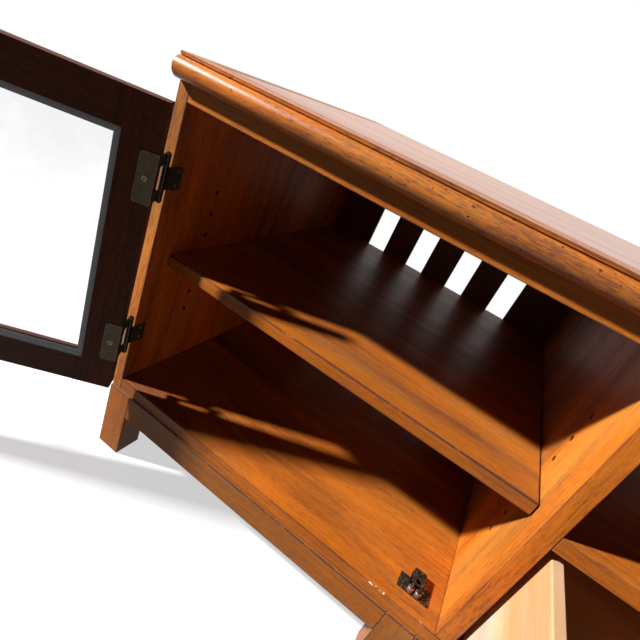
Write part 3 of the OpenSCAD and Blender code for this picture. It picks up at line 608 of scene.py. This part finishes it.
class CONSOLE_OT_trim(ConsolePiece, bpy.types.Operator):
    """Stain the top, its bullnosed front edge and the base"""
    bl_idname = "console.trim_finish"
    bl_label = "Top, mouldings and base"

    def execute(self, context):
        w = context.scene.console_wood
        fine = dict(light=w.trim_stain, dark=w.stain_dark, grain=(0.3, 0.2, 0.35, 0.4), gloss=w.gloss,
                    glaze_and_shade=w.glaze_and_shade, width=w.edge_width, ease=w.eased_edge)
        edge = dict(fine, slot="top_wood")
        top = dict(edge, light=scaled(w.stain, 0.72), grain=(0.35, 0.35, 0.3, 0.3), strength=0.6)
        nose = dict(edge, light=scaled(w.trim_stain, 1.42), grain=(0.45, 0.3, 0.5, 0.5), gloss=0.28,
                    specular=0.22, ease=0.0004)
        stained("stained_top", ["top_panel"], "x", coat=0.6, holes=False, offset=(0.1, 0.5, 0.3), **top)
        stained("stained_nose_front", ["top_moulding_front"], "x", holes=False, offset=(0.9, 0.0, 0.0),
                finish=self.moulding(w), **nose)
        for side in ("left", "right"):
            stained("stained_top_" + side, ["top_moulding_" + side], "y", offset=(0.0, 0.9, 0.0), **edge)
        for name, node, axis, pitch, offset in (
                ("front_legs", "legs_front", "z", LEG_ROW, (0.2, 0.3, 0.0)),
                ("rear_legs", "legs_rear", "z", LEG_ROW, (0.7, 0.3, 0.5)),
                ("front_rails", "base_rails_front", "x", RAIL_ROW, (0.4, 0.1, 0.5)),
                ("rear_rail", "base_rail_rear", "x", None, (0.9, 0.3, 0.5)),
                ("cross_rails", "base_cross_rails", "y", None, (0.0, 0.6, 0.2))):
            stained("stained_" + name, [node], axis, pitch=pitch, offset=offset, **fine)
        return {"FINISHED"}

    def moulding(self, w):
        """Painted shade in the quirk below the upper edge and on the bottom of the nose, glaze on the lip,
        and small dark nicks on the nose.
        """
        def finish(t, coords, colour, rough):
            _, y, z = t.xyz(coords)
            # Painted shade in the quirk
            quirk_shade = t.times(t.window(z, *QUIRK_Z), t.band(y, *QUIRK_Y))
            # Painted shade on the bottom of the nose
            shade_beneath = t.within(z, *NOSE_UNDERSIDE)
            nicks = t.band(t.noise(coords, 190.0, 2.0, 0.5), 0.67, 0.71)
            lip = t.times(t.band(z, *LIP_Z), t.within(y, *LIP_Y, 0.6))
            mask = t.most(t.most(t.times(quirk_shade, 0.4), lip), t.most(shade_beneath, nicks))
            short = t.vector("MULTIPLY", coords, (130.0, 300.0, 300.0))
            rub = t.band(t.noise(short, 1.0, 4.0, 0.7), 0.45, 0.65, 0.0, 0.14)
            return t.mix(t.times(mask, 0.85), colour, rgba(w.glaze_and_shade)), t.plus(rough, rub)
        return finish


class CONSOLE_OT_doors(ConsolePiece, bpy.types.Operator):
    """Stain the frames of the two glass doors"""
    bl_idname = "console.door_finish"
    bl_label = "Door frames"

    def execute(self, context):
        w = context.scene.console_wood
        look = dict(light=w.door_stain, dark=w.door_dark, grain=(0.3, 0.35, 0.45, 0.5), gloss=0.5,
                    specular=0.06, glaze_and_shade=w.glaze_and_shade, strength=0.35, width=0.0011, holes=False,
                    ease=0.0006, slot="door_wood")
        for side in ("left", "right"):
            for part, axis, shift in (("hinge_stile", "z", 0.0), ("latch_stile", "z", 0.6),
                                      ("top_rail", "x", 0.3), ("bottom_rail", "x", 0.8)):
                node = side + "_door_" + part
                stained("stained_" + node, [node], axis, swung=side == "left",
                        offset=(shift, shift, 0.2), **look)
        return {"FINISHED"}


class CONSOLE_OT_drawer(ConsolePiece, bpy.types.Operator):
    """Finish the drawer: stained front, bare maple sides, back and bottom"""
    bl_idname = "console.drawer_finish"
    bl_label = "Drawer"

    def execute(self, context):
        w = context.scene.console_wood
        stained("stained_drawer_front", ["drawer_front"], "x", light=w.stain, dark=w.stain_dark,
                gloss=w.gloss, glaze_and_shade=w.glaze_and_shade, offset=(0.2, 0.8, 0.1))
        bare = dict(light=w.maple, dark=w.maple_dark, grain=(0.25, 0.4, 0.4, 0.2), gloss=0.42,
                    specular=0.3, ease=0.0015, slot="maple")
        for part, axis, offset in (("side_left", "y", (0.0, 0.0, 0.0)), ("side_right", "y", (0.8, 0.0, 0.0)),
                                   ("back", "x", (0.0, 0.5, 0.1)), ("bottom", "x", (0.0, 0.2, 0.6))):
            stained("maple_" + part, ["drawer_" + part], axis, offset=offset, **bare)
        return {"FINISHED"}


class CONSOLE_OT_hardware(ConsolePiece, bpy.types.Operator):
    """Give the hinges, catches, knobs, slides and supports their metal"""
    bl_idname = "console.hardware"
    bl_label = "Hardware"

    def execute(self, context):
        h = context.scene.console_hardware
        plate = self.bronze("antique_bronze", h, 0.08, 0.45, 0.85)
        blotched = self.bronze("blotched_bronze", h, 0.75, 0.36, 1.6, 420.0)
        heads = self.bronze("screw_bronze", h, 0.6, 0.3, 2.6, 500.0)
        dark = self.bronze("dark_bronze", h, 0.1, 0.4, 0.2)
        # Bright arrises and knuckle ends: worn bronze, partly painted glints.
        rubbed = self.bronze("rubbed_glinting_bronze", h, 1.0, 0.3, 5.0, shade=0.0)
        for name in sorted(NODES):
            if name.endswith(("_leaves", "knob")):
                look, share, worn, rims = plate, 1.0, rubbed, dark
            elif name.endswith("strike") or name == "catch_bases":
                look, share, worn, rims = blotched, 1.0, rubbed, dark
            elif name.endswith("screws"):
                look, share, worn, rims = heads, 0.8, dark, dark
            elif name == "hinge_pins":
                look, share, worn, rims = dark, 0.4, None, None
            else:
                continue
            dress([name], look)
            eased(name, h.eased_metal * share, look, worn, rims)
        brass = self.roller_brass(h)
        rollers = [n for n in sorted(NODES) if "roller" in n]
        dress(rollers, brass)
        for name in rollers:
            eased(name, h.eased_metal, brass)
        dress(["shelf_supports", "slide_cabinet_members", "slide_drawer_members", "slide_middle_members"],
              self.zinc_steel(h))
        return {"FINISHED"}

    def bronze(self, name, h, bright, rough, level, speckle=600.0, shade=0.75):
        """Dark patina, blotchy brown bloom and small bright rubs, with painted shade on the hinge barrels, in
        the hole of a catch's strap and beneath the strap.
        """
        m, t = material(name)
        coords = t.coords()
        bloom = t.band(t.noise(coords, 120.0, 5.0, 0.65), 0.35, 0.7)
        rubs = t.band(t.noise(coords, speckle, 3.0, 0.6), 0.57, 0.68)
        tone = t.mix(t.times(bloom, 0.6), rgba(h.bronze, level), rgba(h.bronze, 2.4 * level))
        tone = t.mix(t.times(rubs, bright), tone, rgba(h.bronze_worn_and_glint))
        x, y, z = t.xyz(coords)
        x = t.size(x)
        # The hinge barrels get painted shade, darker than their leaves.
        barrel = t.within(t.radius(t.off(x, abs(LEFT_PIN.x)), t.off(y, LEFT_PIN.y)), *BARREL)
        tone = t.mix(t.times(barrel, shade), tone, BARREL_PAINTED_SHADE)
        # Painted shade: the hole in a catch's strap and the hollow beneath the strap are painted near black.
        across = t.off(x, STRAP_HOLE[0])
        hole_wall_shade = t.within(t.radius(across, t.off(y, STRAP_HOLE[1])), *STRAP_HOLE_WALL)
        shade_beneath = t.times(t.within(across, STRAP_HALF - 0.0008, STRAP_HALF - 0.0004),
                        t.within(z, *STRAP_UNDERSIDE), t.band(y, *STRAP_FRONT),
                        t.within(y, STRAP_BACK - 0.0008, STRAP_BACK - 0.0004))
        tone = t.mix(t.most(hole_wall_shade, shade_beneath), tone, PAINTED_SHADE_HOLLOW)
        dull = t.times(t.band(bloom, 0, 1, rough, rough + 0.14), t.band(barrel, 0, 1, 1.0, 0.6))
        t.principled({"Base Color": tone, "Metallic": 0.7, "Roughness": dull, "Specular IOR Level": 0.25,
                      "Normal": t.bump(bloom, 0.25, 0.0003)})
        return m

    def roller_brass(self, h):
        m, t = material("roller_brass")
        tarnish = t.band(t.noise(t.coords(), 300.0, 4.0), 0.4, 0.7)
        t.principled({"Base Color": t.mix(tarnish, rgba(h.roller), rgba(h.roller, 0.5)),
                      "Metallic": 0.7, "Roughness": t.band(tarnish, 0, 1, 0.28, 0.5)})
        return m

    def zinc_steel(self, h):
        m, t = material("zinc_steel")
        spangle = t.noise(t.coords(), 160.0, 2.0)
        t.principled({"Base Color": t.mix(spangle, rgba(h.steel), rgba(h.steel, 0.8)),
                      "Metallic": 1.0, "Roughness": t.band(spangle, 0.3, 0.7, 0.3, 0.45)})
        return m


class CONSOLE_OT_glazing(ConsolePiece, bpy.types.Operator):
    """Finish the doors' glass and the beads that hold it"""
    bl_idname = "console.glazing"
    bl_label = "Glazing"

    def execute(self, context):
        h = context.scene.console_hardware
        dress(["left_door_glass", "right_door_glass"], self.glass(h))
        for side in ("left", "right"):
            self.beads(h, side)
        return {"FINISHED"}

    def glass(self, h):
        m, t = material("door_glass")
        coords = t.coords()
        wave = t.noise(coords, 14.0, 3.0)
        haze = t.band(t.noise(coords, 55.0, 5.0), 0.45, 0.8, 0.0, 0.06)
        # Painted reflection: lighter clouds in the glass's tint
        cloud = t.band(t.noise(coords, 16.0, 8.0, 0.7), 0.47, 0.7)
        t.principled({"Base Color": t.mix(cloud, rgba(h.glass), GLASS_PAINTED_REFLECTION), "Transmission Weight": 1.0,
                      "Metallic": 0.0, "IOR": 1.45, "Roughness": haze, "Normal": t.bump(wave, 0.04, 0.002)})
        return m

    def beads(self, h, side):
        """Dusty beads with painted shade along the frame."""
        name = side + "_door_glazing_beads"
        swung = side == "left"
        m, t = material("glazing_bead_" + side)
        coords = board_coords(t, swung)
        dust = t.band(t.noise(coords, 240.0, 4.0), 0.5, 0.75)
        centre, half = board_box(name, swung)
        x, _, z = t.xyz(t.vector("ABSOLUTE", t.vector("SUBTRACT", coords, centre)))
        out = t.least(t.math("SUBTRACT", half.x, x), t.math("SUBTRACT", half.z, z))
        tone = t.mix(t.times(dust, 0.4), rgba(h.bead), DUSTY_BEAD)
        # Painted shade on the beads' outer band, next to the frame
        t.principled({"Base Color": t.mix(t.within(out, 0.0022, 0.0032, 0.85), tone, BEAD_PAINTED_SHADE),
                      "Roughness": t.band(dust, 0, 1, 0.42, 0.6)})
        dress([name], m)
        eased(name, 0.0005, m)


class CONSOLE_OT_stage(ConsolePiece, bpy.types.Operator):
    """Lay the floor, set the lamps and place the camera"""
    bl_idname = "console.stage"
    bl_label = "Stage"

    def execute(self, context):
        s = context.scene.console_stage
        self.floor(s)
        self.world(context, s)
        self.lamp("key_lamp", *KEY_LAMP, s.key_power)
        self.lamp("fill_lamp", *FILL_LAMP, s.fill_power)
        self.camera(context, s)
        context.scene.view_settings.view_transform = "Standard"
        return {"FINISHED"}

    def floor(self, s):
        """A disc that keeps the shadow, fades to white outwards and lights the console only a little."""
        bm = bmesh.new()
        bmesh.ops.create_circle(bm, cap_ends=True, segments=64, radius=FLOOR_RADIUS)
        mesh = add_mesh("floor", bm)
        m, t = material("floor")
        seen = t.seen()
        matte = t.node("ShaderNodeBsdfDiffuse", {"Color": t.mix(seen, rgba(s.floor, s.bounce),
                                                                rgba(s.floor))})
        white = t.node("ShaderNodeEmission", {"Color": WHITE, "Strength": 1.0})
        away = t.node("ShaderNodeVectorMath", {0: t.coords()}, operation="LENGTH").outputs["Value"]
        mixed = t.node("ShaderNodeMixShader", {0: t.times(seen, t.band(away, *FLOOR_FADE)),
                                               1: matte.outputs[0], 2: white.outputs[0]})
        t.node("ShaderNodeOutputMaterial", {"Surface": mixed.outputs[0]})
        mesh.materials.append(m)
        add_object("floor", mesh)

    def world(self, context, s):
        """White wherever it is seen, and a weak even light otherwise."""
        world = bpy.data.worlds.new("studio")
        context.scene.world = world
        world.use_nodes = True
        world.node_tree.nodes.clear()
        t = Tree(world.node_tree)
        soft = t.node("ShaderNodeBackground", {"Color": WHITE, "Strength": s.sky})
        white = t.node("ShaderNodeBackground", {"Color": WHITE, "Strength": 1.0})
        mixed = t.node("ShaderNodeMixShader", {0: t.seen(), 1: soft.outputs[0], 2: white.outputs[0]})
        t.node("ShaderNodeOutputWorld", {"Surface": mixed.outputs[0]})

    def lamp(self, name, place, size, power):
        data = bpy.data.lights.new(name, "AREA")
        data.shape = "SQUARE"
        data.size = size
        data.energy = power
        aim = Vector(LAMP_TARGET) - Vector(place)
        turn = aim.to_track_quat("-Z", "Y").to_matrix().to_4x4()
        add_object(name, data).matrix_world = Matrix.Translation(place) @ turn

    def camera(self, context, s):
        data = bpy.data.cameras.new("camera")
        data.sensor_width = 36.0
        data.lens = s.lens
        data.shift_x = (PHOTO_SIDE / 2 - OPTICAL_CENTRE[0]) / PHOTO_SIDE
        data.shift_y = (OPTICAL_CENTRE[1] - PHOTO_SIDE / 2) / PHOTO_SIDE
        data.clip_start = 0.02
        camera = add_object("camera", data)
        turn = Matrix((CAMERA_RIGHT, -CAMERA_DOWN, -CAMERA_AHEAD)).transposed().to_4x4()
        camera.matrix_world = Matrix.Translation(CAMERA_PLACE) @ turn
        context.scene.camera = camera


class CONSOLE_PT_panel(bpy.types.Panel):
    bl_idname = "CONSOLE_PT_panel"
    bl_label = "Media Console"
    bl_space_type = "VIEW_3D"
    bl_region_type = "UI"
    bl_category = "Console"

    def draw(self, context):
        for attribute, properties in PROPERTIES:
            box = self.layout.box()
            for key in properties.__annotations__:
                box.prop(getattr(context.scene, attribute), key)
        for operator in OPERATORS:
            self.layout.operator(operator.bl_idname)


OPERATORS = [CONSOLE_OT_case, CONSOLE_OT_trim, CONSOLE_OT_doors, CONSOLE_OT_drawer,
             CONSOLE_OT_hardware, CONSOLE_OT_glazing, CONSOLE_OT_stage]
CLASSES = [properties for _, properties in PROPERTIES] + OPERATORS + [CONSOLE_PT_panel]


def register():
    for cls in CLASSES:
        bpy.utils.register_class(cls)
    for attribute, properties in PROPERTIES:
        setattr(bpy.types.Scene, attribute, PointerProperty(type=properties))


def unregister():
    for attribute, _ in PROPERTIES:
        delattr(bpy.types.Scene, attribute)
    for cls in reversed(CLASSES):
        bpy.utils.unregister_class(cls)


def main():
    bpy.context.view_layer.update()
    register()
    bpy.ops.console.case_finish()
    bpy.ops.console.trim_finish()
    bpy.ops.console.door_finish()
    bpy.ops.console.drawer_finish()
    bpy.ops.console.hardware()
    bpy.ops.console.glazing()
    bpy.ops.console.stage()


if __name__ == "__main__":
    main()
